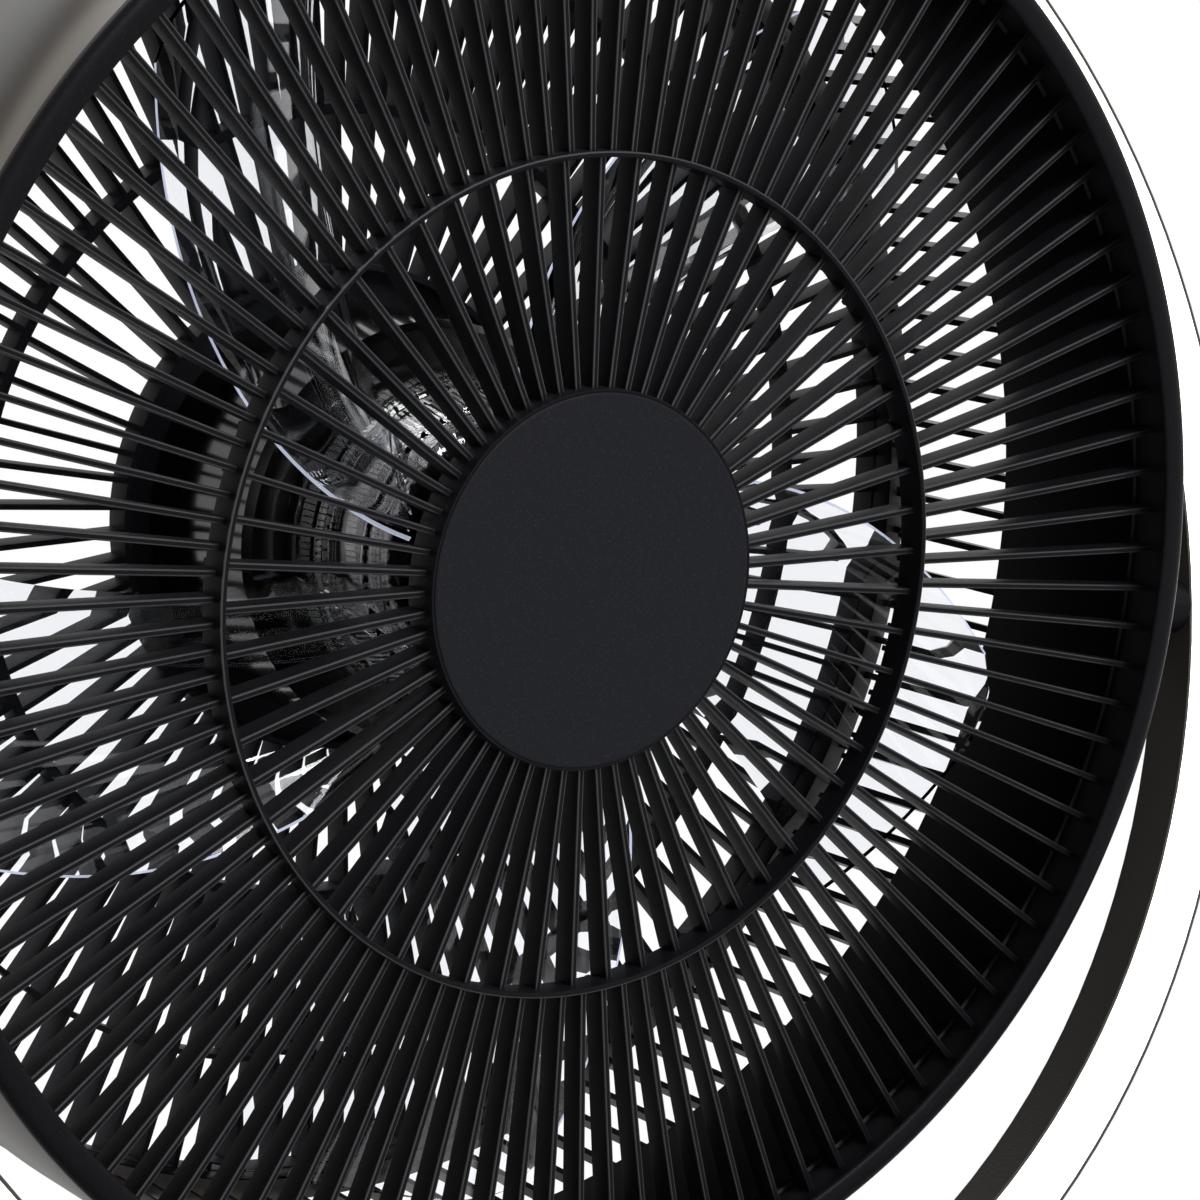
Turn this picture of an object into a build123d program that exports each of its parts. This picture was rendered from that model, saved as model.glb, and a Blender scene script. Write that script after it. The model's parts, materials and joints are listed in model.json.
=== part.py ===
from build123d import *
from math import asin, atan2, cos, degrees, radians, sin, sqrt, tan
import os

# Tripod floor fan: a drum-shaped fan head that tilts inside an upright ring light, on a
# swivelling control housing, a sliding column and three folding legs.
# Millimetres. +Z is up, the fan faces -Y, the origin is on the floor at the centre of the footprint.

# Head: radii, and depths measured backwards from the front face of the rim
HEAD_RADIUS = 200.0
HEAD_HEIGHT = 1120.0
MID_RING_SHARE = 0.5425
REAR_RING_SHARE = 0.559
REAR_THIN_RING_SHARE = 0.796
REST_TILT = 13.0
TILT_AXIS_DEPTH = 21.8
RIM_FACE = 7.5
RIM_EDGE = 3.5
RIM_BEVEL = 0.8
RIM_REVEAL = 0.8
RIM_LIP = 1.6
SKIRT_WALL = 1.2
DRUM_WALL = 4.0
REBATE_WALL = 1.3
DRUM_DEPTH = 139.0
DRUM_STEP = 1.0
VENT_START = 72.4
VENT_LENGTH = 50.0
SLAT_COUNT = 108
SLAT_WIDTH = 2.0
SLAT_INSET = 0.5

# Front grille
RING_INSET = 6.0
SPOKE_INSET = 9.3
SPOKE_WIDTH = 1.8
SPOKE_DEPTH = 8.0
INNER_SPOKES = 60
INNER_TURN = 2.2
OUTER_SPOKES = 108
OUTER_TURN = -0.18
MID_RING_WALL = 1.6
ROOT_OVERLAP = 0.4
CAP_RADIUS = 48.6
CAP_THICKNESS = 2.5
CAP_LIP = 0.8
CAP_PROUD = 0.3
HUB_FLOOR = 2.5

# Rear grille
REAR_SPOKE_DEPTH = 9.0
REAR_INNER_SPOKES = 60
REAR_OUTER_SPOKES = 108
REAR_RING_WALL = 3.0
REAR_THIN_RING_WALL = 1.6
REAR_RIM_WALL = 3.2
REAR_LEDGE = 3.0
DISH_RADIUS = 69.0
DISH_WALL = 2.0
DISH_FLOOR = 3.0

# Motor
MOTOR_RADIUS = 58.0
MOTOR_FRONT_DEPTH = 84.0
MOTOR_WALL = 3.0
MOTOR_FLOOR = 4.0
MOTOR_CORNER = 2.0
SHAFT_RADIUS = 4.0
SHAFT_FRONT_DEPTH = 31.0
SHAFT_SEAT = 1.7
STATOR_YOKE = 5.0
STATOR_TIP = 3.0
STATOR_INNER = 31.0
STATOR_LENGTH = 26.0
STATOR_SLOTS = 12
SLOT_WIDTH = 9.0
ROTOR_GAP = 0.6
COVER_RADIUS = 46.0
COVER_BACK_RADIUS = 41.0
COVER_HEIGHT = 11.0
COVER_WALL = 2.0

# Impeller: a clear hub with five swept blades
HUB_BACK_RADIUS = 45.0
HUB_FRONT_RADIUS = 37.5
HUB_BACK_DEPTH = 82.0
HUB_FRONT_DEPTH = 49.0
HUB_WALL = 2.5
NOSE_RADIUS = 29.0
NOSE_FRONT_DEPTH = 40.0
SLEEVE_WALL = 4.0
BLADE_COUNT = 5
BLADE_TIP_GAP = 16.0
BLADE_FRONT_DEPTH = 42.0
BLADE_REAR_DEPTH = 81.0
BLADE_THICKNESS = 2.0
BLADE_BOW = 0.07
ROOT_FRONT_ANGLE = 248.0
TIP_FRONT_ANGLE = 206.0
ROOT_REAR_ANGLE = 197.0
TIP_REAR_ANGLE = 181.0
TIP_CORNER = 10.0
TIP_CORNER_EASE = 3.0
BLADE_SECTIONS = 4
NUT_RADIUS = 13.0
NUT_LENGTH = 7.0

# Ring light
LIGHT_GAP = 18.9
LIGHT_THICKNESS = 18.5
LIGHT_WIDTH = 15.0
CHANNEL_WALL = 0.9
CHANNEL_BACK = 2.0
DIFFUSER_INSET = 0.2
DIFFUSER_WALL = 1.6

# Tilt pivots
PIVOT_PIN_RADIUS = 2.5
PIVOT_PIN_HEAD = 3.7
PIVOT_HEAD_HEIGHT = 2.5
PIVOT_BOSS_RADIUS = 8.0
PIVOT_BOSS_HEIGHT = 8.0

# Stem and swivel
SADDLE_THICKNESS = 6.0
SADDLE_ANGLE = 16.0
STEM_RADIUS = 8.0
STEM_LENGTH = 24.0
FLANGE_RADIUS = 22.0
FLANGE_THICKNESS = 5.0
SPIGOT_RADIUS = 10.0
SWIVEL_BOSS_LENGTH = 34.0
SWIVEL_BOSS_WALL = 5.0
SWIVEL_GAP = 0.3
RETAINER_SHANK_RADIUS = 3.0
RETAINER_SHANK_LENGTH = 12.0
RETAINER_HEAD_HEIGHT = 3.6

# Control housing and buttons
HOUSING_RADIUS = 36.0
HOUSING_HEIGHT = 76.0
HOUSING_WALL = 2.5
PANEL_OFFSET = 30.0
BASE_THICKNESS = 5.0
SOCKET_HEIGHT = 24.0
SOCKET_WALL = 3.0
KEY_WIDTH = 14.0
KEY_HEIGHT = 8.0
KEY_PITCH = 14.0
KEY_PROUD = 1.6
KEY_TRAVEL = 1.2
KEY_COLLAR = 1.2
BUTTON_NAMES = ["power_button", "speed_button", "timer_button", "light_button"]
BOARD_THICKNESS = 1.6
BOARD_POST = 4.0
SWITCH_SIDE = 6.0
SWITCH_HEIGHT = 1.8
INLET_RADIUS = 5.5
INLET_BORE = 2.8
INLET_LENGTH = 10.0
INLET_DEPTH = 8.0

# Column, tripod hub and legs
COLUMN_RADIUS = 14.0
COLUMN_WALL = 1.5
COLUMN_LENGTH = 390.0
END_CAP_LIP = 2.5
END_CAP_NECK = 10.0
END_CAP_FLANGE = 5.0
COLUMN_SHOWN = 65.3
HUB_HEIGHT = 66.0
HUB_RADIUS = 24.0
LEG_COUNT = 3
LEG_RADIUS = 10.0
LEG_WALL = 1.5
LEG_HINGE_RADIUS = 38.0
LEG_HINGE_RISE = 14.0
LEG_PIN_RADIUS = 3.0
KNUCKLE_RADIUS = 9.0
KNUCKLE_WIDTH = 14.0
KNUCKLE_COLLAR = 3.0
KNUCKLE_PLUG = 20.0
LUG_THICKNESS = 5.0
LUG_CORNER = 7.0
FOOT_CIRCLE_RADIUS = 336.0
FOOT_REST = 12.0
FOOT_SLEEVE = 34.0
FOOT_WALL = 3.0
KNOB_RADIUS = 17.0
KNOB_LENGTH = 16.0
KNOB_SIDES = 8
KNOB_STUD_RADIUS = 4.0
KNOB_NECK = 8.0

# Fits
RUNNING_FIT = 0.03
SEAT_GAP = 0.1
MOVING_GAP = 0.3
CUT_EXTRA = 1.0

# Derived levels and radii
RIM_INNER = HEAD_RADIUS - RIM_FACE
DRUM_OUTER = HEAD_RADIUS - DRUM_STEP
DRUM_INNER = DRUM_OUTER - DRUM_WALL
REBATE_RADIUS = DRUM_OUTER - REBATE_WALL
SKIRT_OUTER = REBATE_RADIUS - SEAT_GAP
SKIRT_INNER = SKIRT_OUTER - SKIRT_WALL
MID_RING_RADIUS = HEAD_RADIUS * MID_RING_SHARE
REAR_RING_RADIUS = HEAD_RADIUS * REAR_RING_SHARE
REAR_THIN_RING_RADIUS = HEAD_RADIUS * REAR_THIN_RING_SHARE
BLADE_TIP_RADIUS = DRUM_INNER - BLADE_TIP_GAP
LIGHT_INNER_RADIUS = HEAD_RADIUS + LIGHT_GAP
LIGHT_OUTER_RADIUS = LIGHT_INNER_RADIUS + LIGHT_THICKNESS
DRUM_FRONT = RIM_EDGE + RIM_REVEAL
GRILLE_BACK = SPOKE_INSET + SPOKE_DEPTH
REAR_FACE = DRUM_DEPTH - REAR_SPOKE_DEPTH
DISH_BACK = REAR_FACE + REAR_SPOKE_DEPTH
DISH_SEAT = DISH_BACK - DISH_FLOOR
LIGHT_BOTTOM = HEAD_HEIGHT - LIGHT_OUTER_RADIUS
STEM_TOP = LIGHT_BOTTOM - SADDLE_THICKNESS
FLANGE_TOP = STEM_TOP - STEM_LENGTH
HOUSING_TOP = FLANGE_TOP - FLANGE_THICKNESS - SWIVEL_GAP
HOUSING_BOTTOM = HOUSING_TOP - HOUSING_HEIGHT
COLUMN_TOP = HOUSING_BOTTOM + BASE_THICKNESS + SOCKET_HEIGHT
COLUMN_BOTTOM = COLUMN_TOP - COLUMN_LENGTH
HUB_BOTTOM = HOUSING_BOTTOM - COLUMN_SHOWN - HUB_HEIGHT
LEG_HINGE_HEIGHT = HUB_BOTTOM + LEG_HINGE_RISE
LEG_LEAN = degrees(atan2(FOOT_CIRCLE_RADIUS - LEG_HINGE_RADIUS, LEG_HINGE_HEIGHT))
LEG_TURNS = [-90 + 360 * i / LEG_COUNT for i in range(LEG_COUNT)]

# The boots' outlines on the floor are ellipses, and their box is centred on the origin
BOOT_RADIUS = LEG_RADIUS + FOOT_WALL
BOOT_REACH = BOOT_RADIUS / cos(radians(LEG_LEAN))
BACK_TURN = radians(LEG_TURNS[1])
FRONT_EDGE = FOOT_CIRCLE_RADIUS + BOOT_REACH
BACK_EDGE = FOOT_CIRCLE_RADIUS * sin(BACK_TURN) + sqrt(
    (BOOT_REACH * sin(BACK_TURN)) ** 2 + (BOOT_RADIUS * cos(BACK_TURN)) ** 2)
FOOTPRINT_SHIFT = (FRONT_EDGE - BACK_EDGE) / 2

UPRIGHT = Pos(0, FOOTPRINT_SHIFT, 0)
LIGHT_PLACE = UPRIGHT * Pos(0, 0, HEAD_HEIGHT) * Rot(-90, 0, 0)
HEAD_PLACE = UPRIGHT * Pos(0, 0, HEAD_HEIGHT) * Rot(REST_TILT - 90, 0, 0) * Pos(0, 0, -TILT_AXIS_DEPTH)

parts = {}


def add(name, shape, place=UPRIGHT):
    """Keep a finished piece under its name, moved to its place."""
    parts[name] = place * shape


def turned(points):
    """Solid of revolution about Z from an outline of radius and height points."""
    return revolve(Plane.XZ * make_face(Polyline(*points, close=True)), Axis.Z)


def tube(outer, inner, bottom, top):
    """Straight round tube on Z between two levels."""
    return turned([(inner, bottom), (outer, bottom), (outer, top), (inner, top)])


def rod(radius, bottom, top):
    """Round bar on Z between two levels."""
    return Pos(0, 0, (bottom + top) / 2) * Cylinder(radius, top - bottom)


def bar_x(radius, start, end, depth=0.0, height=0.0):
    """Round bar along X between two places."""
    return Pos((start + end) / 2, height, depth) * Rot(0, 90, 0) * Cylinder(radius, abs(end - start))


def bar_y(radius, start, end, x=0.0, z=0.0):
    """Round bar along Y between two places."""
    return Pos(x, (start + end) / 2, z) * Rot(90, 0, 0) * Cylinder(radius, abs(end - start))


def around(shape, count, start=0.0):
    """Copies of a shape turned evenly about Z."""
    return [Rot(0, 0, start + 360 * i / count) * shape for i in range(count)]


def grille_cell(inner, outer, middle, pitch, rib):
    """Four-cornered opening between two radial ribs that keep one width."""
    corners = []
    for radius, side in ((inner, -1), (outer, -1), (outer, 1), (inner, 1)):
        angle = middle + side * (pitch / 2 - asin(rib / 2 / radius))
        corners.append((radius * cos(angle), radius * sin(angle), 0))
    return Wire.make_polygon(corners)


def grille_plate(edge_radius, zones, rib, depth):
    """Flat grille: a disc pierced by zones of openings, each (inner, outer, count, turn)."""
    cells = []
    for inner, outer, count, turn in zones:
        pitch = radians(360 / count)
        start = radians(turn)
        cells += [grille_cell(inner, outer, start + i * pitch, pitch, rib) for i in range(count)]
    face = Face(Wire([Edge.make_circle(edge_radius)]), cells)
    return extrude(face, depth, dir=(0, 0, 1))


def front_grille():
    """One moulding: thin-lipped rim, skirt, fine radial spokes, proud middle ring and hub."""
    rim = turned([
        (RIM_INNER, 0), (HEAD_RADIUS - RIM_BEVEL, 0), (HEAD_RADIUS, RIM_BEVEL),
        (HEAD_RADIUS, RIM_EDGE), (SKIRT_OUTER, RIM_EDGE), (SKIRT_OUTER, GRILLE_BACK),
        (SKIRT_INNER, GRILLE_BACK), (SKIRT_INNER, RIM_LIP), (RIM_INNER, RIM_LIP),
    ])
    ring_inner = MID_RING_RADIUS - MID_RING_WALL / 2
    ring_outer = MID_RING_RADIUS + MID_RING_WALL / 2
    hub_radius = CAP_RADIUS + CAP_LIP
    zones = [
        (hub_radius - ROOT_OVERLAP, ring_inner + ROOT_OVERLAP, INNER_SPOKES, INNER_TURN),
        (ring_outer - ROOT_OVERLAP, SKIRT_INNER + ROOT_OVERLAP, OUTER_SPOKES, OUTER_TURN),
    ]
    spokes = Pos(0, 0, SPOKE_INSET) * grille_plate(
        SKIRT_INNER + SKIRT_WALL / 2, zones, SPOKE_WIDTH, SPOKE_DEPTH)
    ring = tube(ring_outer, ring_inner, RING_INSET, GRILLE_BACK)
    hub = rod(hub_radius, RING_INSET + CAP_PROUD, GRILLE_BACK)
    seat = rod(CAP_RADIUS, RING_INSET, RING_INSET + CAP_THICKNESS)
    hollow = rod(CAP_RADIUS - HUB_FLOOR, RING_INSET + CAP_THICKNESS + HUB_FLOOR, GRILLE_BACK)
    return rim + spokes + ring + hub - seat - hollow


def grille_cap():
    """Plain disc pressed into the hub of the front grille."""
    return rod(CAP_RADIUS, RING_INSET, RING_INSET + CAP_THICKNESS)


def drum():
    """Deep shroud: a rebated front band, a slatted band behind it, a rear band and pivot bosses."""
    vent_end = VENT_START + VENT_LENGTH
    rebate_end = GRILLE_BACK + SEAT_GAP
    front_band = turned([
        (REBATE_RADIUS, DRUM_FRONT), (DRUM_OUTER, DRUM_FRONT), (DRUM_OUTER, VENT_START),
        (DRUM_INNER, VENT_START), (DRUM_INNER, rebate_end), (REBATE_RADIUS, rebate_end),
    ])
    rear_band = turned([
        (DRUM_INNER - REAR_LEDGE, vent_end), (DRUM_OUTER, vent_end), (DRUM_OUTER, DRUM_DEPTH),
        (DRUM_INNER, DRUM_DEPTH), (DRUM_INNER, REAR_FACE), (DRUM_INNER - REAR_LEDGE, REAR_FACE),
    ])
    slat = Pos((DRUM_INNER + DRUM_OUTER) / 2, 0, VENT_START + VENT_LENGTH / 2) * Box(
        DRUM_WALL - 2 * SLAT_INSET, SLAT_WIDTH, VENT_LENGTH)
    shell = front_band.fuse(rear_band, *around(slat, SLAT_COUNT, 180 / SLAT_COUNT))
    for side in (-1, 1):
        shell += bar_x(PIVOT_BOSS_RADIUS, side * (DRUM_OUTER - REBATE_WALL / 2),
                       side * (DRUM_OUTER + PIVOT_BOSS_HEIGHT), TILT_AXIS_DEPTH)
    for side in (-1, 1):
        shell -= bar_x(PIVOT_PIN_RADIUS + RUNNING_FIT, side * (DRUM_INNER - REAR_LEDGE),
                       side * LIGHT_INNER_RADIUS, TILT_AXIS_DEPTH)
    return shell


def rear_grille():
    """Flat rear guard: fine ribs, two rings and the dish that carries the motor."""
    rim_radius = DRUM_INNER - SEAT_GAP
    thin_inner = REAR_THIN_RING_RADIUS - REAR_THIN_RING_WALL / 2
    thin_outer = REAR_THIN_RING_RADIUS + REAR_THIN_RING_WALL / 2
    zones = [
        (DISH_RADIUS, REAR_RING_RADIUS - REAR_RING_WALL / 2, REAR_INNER_SPOKES, 0),
        (REAR_RING_RADIUS + REAR_RING_WALL / 2, thin_inner, REAR_OUTER_SPOKES, 0),
        (thin_outer, rim_radius - REAR_RIM_WALL, REAR_OUTER_SPOKES, 0),
    ]
    guard = Pos(0, 0, REAR_FACE) * grille_plate(rim_radius, zones, SPOKE_WIDTH, REAR_SPOKE_DEPTH)
    guard -= rod(DISH_RADIUS - DISH_WALL, REAR_FACE, DISH_SEAT)
    return guard - rod(SHAFT_RADIUS + RUNNING_FIT, DISH_SEAT, DISH_SEAT + SHAFT_SEAT + MOVING_GAP)


def motor_housing():
    """Round motor can, open at the back, with a bevelled front edge and a bore for the shaft."""
    bore = SHAFT_RADIUS + RUNNING_FIT
    floor = MOTOR_FRONT_DEPTH + MOTOR_FLOOR
    return turned([
        (bore, MOTOR_FRONT_DEPTH), (MOTOR_RADIUS - MOTOR_CORNER, MOTOR_FRONT_DEPTH),
        (MOTOR_RADIUS, MOTOR_FRONT_DEPTH + MOTOR_CORNER), (MOTOR_RADIUS, DISH_SEAT),
        (MOTOR_RADIUS - MOTOR_WALL, DISH_SEAT), (MOTOR_RADIUS - MOTOR_WALL, floor), (bore, floor),
    ])


def stator_front():
    """Depth at which the stator's stack begins, midway along the can."""
    return (MOTOR_FRONT_DEPTH + MOTOR_FLOOR + DISH_SEAT - STATOR_LENGTH) / 2


def stator():
    """Laminated ring with winding slots, held in the can."""
    front = stator_front()
    ring = tube(MOTOR_RADIUS - MOTOR_WALL, STATOR_INNER, front, front + STATOR_LENGTH)
    start = STATOR_INNER + STATOR_TIP
    end = MOTOR_RADIUS - MOTOR_WALL - STATOR_YOKE
    slot = Pos((start + end) / 2, 0, front + STATOR_LENGTH / 2) * Box(
        end - start, SLOT_WIDTH, 2 * STATOR_LENGTH)
    return ring - Compound(children=around(slot, STATOR_SLOTS))


def rotor():
    """Magnet rotor pressed on the shaft."""
    front = stator_front()
    return tube(STATOR_INNER - ROTOR_GAP, SHAFT_RADIUS, front, front + STATOR_LENGTH)


def motor_shaft():
    """Steel shaft from its seat in the dish, through the can, to the nut."""
    return rod(SHAFT_RADIUS, SHAFT_FRONT_DEPTH, DISH_SEAT + SHAFT_SEAT)


def motor_cover():
    """Shallow tapered cap over the middle of the rear guard."""
    back = DISH_BACK + COVER_HEIGHT
    return turned([
        (0, back), (COVER_BACK_RADIUS, back), (COVER_RADIUS, DISH_BACK),
        (COVER_RADIUS - COVER_WALL, DISH_BACK), (COVER_BACK_RADIUS - COVER_WALL, back - COVER_WALL),
        (0, back - COVER_WALL),
    ])


def blade_point(radius, angle, depth):
    """Point on a blade from its radius, its angle seen from the front and its depth."""
    return Vector(radius * cos(radians(angle)), -radius * sin(radians(angle)), depth)


def blade_section(share):
    """Thin section of a blade, bent in the middle, at one share of its length from root to tip."""
    root = HUB_FRONT_RADIUS - 2 * HUB_WALL
    radius = root + (BLADE_TIP_RADIUS + BLADE_THICKNESS - root) * share
    front_angle = ROOT_FRONT_ANGLE + (TIP_FRONT_ANGLE - ROOT_FRONT_ANGLE) * share
    rear_angle = ROOT_REAR_ANGLE + (TIP_REAR_ANGLE - ROOT_REAR_ANGLE) * share
    start = blade_point(radius, front_angle, BLADE_FRONT_DEPTH)
    end = blade_point(radius, rear_angle, BLADE_REAR_DEPTH)
    outward = blade_point(1, (front_angle + rear_angle) / 2, 0)
    across = (end - start).cross(outward).normalized()
    middle = (start + end) / 2 + across * ((end - start).length * BLADE_BOW)
    front_face = [start, middle, end]
    rear_face = [point + across * BLADE_THICKNESS for point in reversed(front_face)]
    return Wire.make_polygon(front_face + rear_face)


def blades():
    """Five swept blades, trimmed to one round envelope with soft tip corners."""
    sections = [blade_section(i / (BLADE_SECTIONS - 1)) for i in range(BLADE_SECTIONS)]
    blade = Solid.make_loft(sections, ruled=True)
    front = BLADE_FRONT_DEPTH
    rear = BLADE_REAR_DEPTH
    tip = BLADE_TIP_RADIUS
    envelope = turned([
        (hub_middle(front), front), (tip - TIP_CORNER, front),
        (tip - TIP_CORNER_EASE, front + TIP_CORNER_EASE),
        (tip, front + TIP_CORNER), (tip, rear), (hub_middle(rear), rear),
    ])
    return around(blade & envelope, BLADE_COUNT)


def hub_middle(depth):
    """Radius of the middle of the tapered hub's wall at one depth."""
    taper = (HUB_BACK_RADIUS - HUB_FRONT_RADIUS) / (HUB_BACK_DEPTH - HUB_FRONT_DEPTH)
    return HUB_FRONT_RADIUS - HUB_WALL / 2 + taper * (depth - HUB_FRONT_DEPTH)


def impeller():
    """Clear one-piece impeller: tapered hub, nose, shaft sleeve and blades."""
    bore = SHAFT_RADIUS
    sleeve = SHAFT_RADIUS + SLEEVE_WALL
    hub = turned([
        (bore, NOSE_FRONT_DEPTH), (NOSE_RADIUS, NOSE_FRONT_DEPTH), (NOSE_RADIUS, HUB_FRONT_DEPTH),
        (HUB_FRONT_RADIUS, HUB_FRONT_DEPTH), (HUB_BACK_RADIUS, HUB_BACK_DEPTH),
        (HUB_BACK_RADIUS - HUB_WALL, HUB_BACK_DEPTH),
        (HUB_FRONT_RADIUS - HUB_WALL, HUB_FRONT_DEPTH + HUB_WALL),
        (NOSE_RADIUS - HUB_WALL, HUB_FRONT_DEPTH + HUB_WALL),
        (NOSE_RADIUS - HUB_WALL, NOSE_FRONT_DEPTH + HUB_WALL),
        (sleeve, NOSE_FRONT_DEPTH + HUB_WALL), (sleeve, HUB_BACK_DEPTH), (bore, HUB_BACK_DEPTH),
    ])
    for blade in blades():
        hub += blade
    return hub


def impeller_nut():
    """Hexagonal nut that clamps the impeller on the shaft."""
    front = NOSE_FRONT_DEPTH - NUT_LENGTH
    body = Pos(0, 0, front) * extrude(RegularPolygon(NUT_RADIUS, 6), NUT_LENGTH)
    return body - rod(SHAFT_RADIUS, front - CUT_EXTRA, NOSE_FRONT_DEPTH + CUT_EXTRA)


def light_channel():
    """Rolled channel of the ring light, open to the front, bored inside for the pivot pins."""
    front = -LIGHT_WIDTH / 2
    back = LIGHT_WIDTH / 2
    inner = LIGHT_INNER_RADIUS + CHANNEL_WALL
    outer = LIGHT_OUTER_RADIUS - CHANNEL_WALL
    ring = turned([
        (LIGHT_INNER_RADIUS, front), (inner, front), (inner, back - CHANNEL_BACK),
        (outer, back - CHANNEL_BACK), (outer, front), (LIGHT_OUTER_RADIUS, front),
        (LIGHT_OUTER_RADIUS, back), (LIGHT_INNER_RADIUS, back),
    ])
    for side in (-1, 1):
        ring -= bar_x(PIVOT_PIN_RADIUS, side * (LIGHT_INNER_RADIUS - CHANNEL_WALL),
                      side * (inner + CHANNEL_WALL))
    return ring


def light_diffuser():
    """Opal strip pressed between the channel's walls."""
    face = -LIGHT_WIDTH / 2 + DIFFUSER_INSET
    return tube(LIGHT_OUTER_RADIUS - CHANNEL_WALL, LIGHT_INNER_RADIUS + CHANNEL_WALL, face,
                face + DIFFUSER_WALL)


def pivot_pins():
    """Two pins headed inside the ring light's channel, reaching into the drum's bosses."""
    seat = LIGHT_INNER_RADIUS + CHANNEL_WALL
    pins = []
    for side in (-1, 1):
        shank = bar_x(PIVOT_PIN_RADIUS, side * (DRUM_INNER + MOVING_GAP), side * seat)
        head = bar_x(PIVOT_PIN_HEAD, side * seat, side * (seat + PIVOT_HEAD_HEIGHT))
        pins.append(shank + head)
    return Compound(children=pins)


def friction_washers():
    """Spacer washers on the pins between the drum's bosses and the ring light."""
    start = DRUM_OUTER + PIVOT_BOSS_HEIGHT + MOVING_GAP
    end = sqrt(LIGHT_INNER_RADIUS ** 2 - PIVOT_BOSS_RADIUS ** 2)
    washers = []
    for side in (-1, 1):
        washer = bar_x(PIVOT_BOSS_RADIUS, side * start, side * end)
        hole = bar_x(PIVOT_PIN_RADIUS, side * (start - CUT_EXTRA), side * (end + CUT_EXTRA))
        washers.append(washer - hole)
    return Compound(children=washers)


def ring_stem():
    """Saddle under the ring light, round stem, flange and swivel spigot, in one casting."""
    outer = LIGHT_OUTER_RADIUS + SADDLE_THICKNESS
    band = tube(outer, LIGHT_OUTER_RADIUS, -LIGHT_WIDTH / 2, LIGHT_WIDTH / 2)
    reach = outer + SADDLE_THICKNESS
    half = reach * tan(radians(SADDLE_ANGLE / 2))
    wedge = extrude(make_face(Polyline((0, 0), (-half, reach), (half, reach), close=True)),
                    LIGHT_WIDTH, both=True)
    saddle = Pos(0, 0, HEAD_HEIGHT) * Rot(-90, 0, 0) * (band & wedge)
    flange_bottom = FLANGE_TOP - FLANGE_THICKNESS
    stem = turned([
        (0, STEM_TOP + SADDLE_THICKNESS / 2), (STEM_RADIUS, STEM_TOP + SADDLE_THICKNESS / 2),
        (STEM_RADIUS, FLANGE_TOP), (FLANGE_RADIUS, FLANGE_TOP), (FLANGE_RADIUS, flange_bottom),
        (SPIGOT_RADIUS, flange_bottom), (SPIGOT_RADIUS, spigot_bottom()), (0, spigot_bottom()),
    ])
    socket_top = spigot_bottom() + RETAINER_SHANK_LENGTH
    return saddle + stem - rod(RETAINER_SHANK_RADIUS, spigot_bottom() - CUT_EXTRA, socket_top)


def spigot_bottom():
    """Level of the lower end of the swivel spigot, just under the housing's boss."""
    return HOUSING_TOP - SWIVEL_BOSS_LENGTH - MOVING_GAP


def stem_retainer():
    """Wide hexagonal screw under the spigot that keeps the head on its swivel."""
    top = spigot_bottom()
    head = Pos(0, 0, top - RETAINER_HEAD_HEIGHT) * extrude(
        RegularPolygon(SPIGOT_RADIUS + HOUSING_WALL, 6), RETAINER_HEAD_HEIGHT)
    return head + rod(RETAINER_SHANK_RADIUS, top, top + RETAINER_SHANK_LENGTH)


def key_levels():
    """Heights of the push buttons' centres on the flat front panel."""
    half = (len(BUTTON_NAMES) - 1) / 2
    return [key_middle() + (half - i) * KEY_PITCH for i in range(len(BUTTON_NAMES))]


def housing_body(radius, panel, bottom, top):
    """Round body with a flat panel on its front."""
    block = Pos(0, radius - panel, (bottom + top) / 2) * Box(2 * radius, 2 * radius, top - bottom)
    return rod(radius, bottom, top) & block


def control_housing():
    """Round control housing with a flat key panel, a swivel boss, board posts and an inlet hole."""
    outer = housing_body(HOUSING_RADIUS, PANEL_OFFSET, HOUSING_BOTTOM, HOUSING_TOP)
    inner_radius = HOUSING_RADIUS - HOUSING_WALL
    cavity = housing_body(inner_radius, PANEL_OFFSET - HOUSING_WALL, HOUSING_BOTTOM, HOUSING_TOP - HOUSING_WALL)
    boss = rod(SPIGOT_RADIUS + SWIVEL_BOSS_WALL, HOUSING_TOP - SWIVEL_BOSS_LENGTH, HOUSING_TOP)
    shell = outer - cavity + boss
    shell -= rod(SPIGOT_RADIUS + RUNNING_FIT, HOUSING_BOTTOM, HOUSING_TOP + CUT_EXTRA)
    for level in key_levels():
        shell -= Pos(0, -PANEL_OFFSET, level) * Box(
            KEY_WIDTH + 2 * MOVING_GAP, 4 * HOUSING_WALL, KEY_HEIGHT + 2 * MOVING_GAP)
    shell -= bar_y(INLET_RADIUS, inner_radius - HOUSING_WALL, HOUSING_RADIUS + CUT_EXTRA, z=inlet_level())
    post_start = -PANEL_OFFSET + HOUSING_WALL / 2
    for side in (-1, 1):
        shell += Pos(side * post_offset(), (post_start + board_front()) / 2, key_middle()) * Box(
            BOARD_POST, board_front() - post_start, BOARD_POST)
    return shell


def post_offset():
    """Sideways place of the posts that carry the circuit board, outside the keys' collars."""
    return KEY_WIDTH / 2 + KEY_COLLAR + MOVING_GAP + BOARD_POST / 2


def key_middle():
    """Height of the middle of the key panel."""
    return (HOUSING_TOP + HOUSING_BOTTOM) / 2


def inlet_level():
    """Height of the power inlet's centre on the back of the control housing."""
    return HOUSING_BOTTOM + BASE_THICKNESS + 2 * INLET_RADIUS


def power_inlet():
    """Round low-voltage socket in the back of the control housing."""
    face = HOUSING_RADIUS - SEAT_GAP
    barrel = bar_y(INLET_RADIUS, face - INLET_LENGTH, face, z=inlet_level())
    return barrel - bar_y(INLET_BORE, face - INLET_DEPTH, face + CUT_EXTRA, z=inlet_level())


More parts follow.
